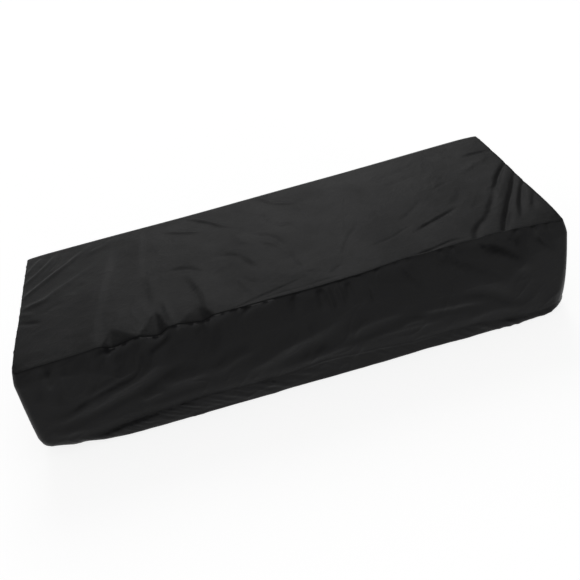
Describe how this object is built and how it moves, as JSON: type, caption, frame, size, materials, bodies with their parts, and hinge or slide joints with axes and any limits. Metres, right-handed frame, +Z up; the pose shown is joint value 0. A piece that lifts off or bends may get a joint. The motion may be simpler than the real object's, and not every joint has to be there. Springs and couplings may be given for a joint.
{
  "type": "fitted keyboard piano cover",
  "caption": "Fitted black taffeta dust cover for a keyboard piano: a hollow, boxy shell of sewn panels with a gathered hem, open underneath",
  "frame": {"origin": "under the middle of the cover, level with the underside of the hem", "axes": "+X along the cover's length, the front faces -Y, +Z up"},
  "size_m": [1.0174, 0.436, 0.202],
  "materials": {
    "taffeta": "thin coated woven cloth, black, with a soft satin sheen"
  },
  "bodies": {
    "root": {"top_panel": "taffeta", "front_panel": "taffeta", "back_panel": "taffeta", "left_end": "taffeta", "right_end": "taffeta"}
  },
  "joints": []
}
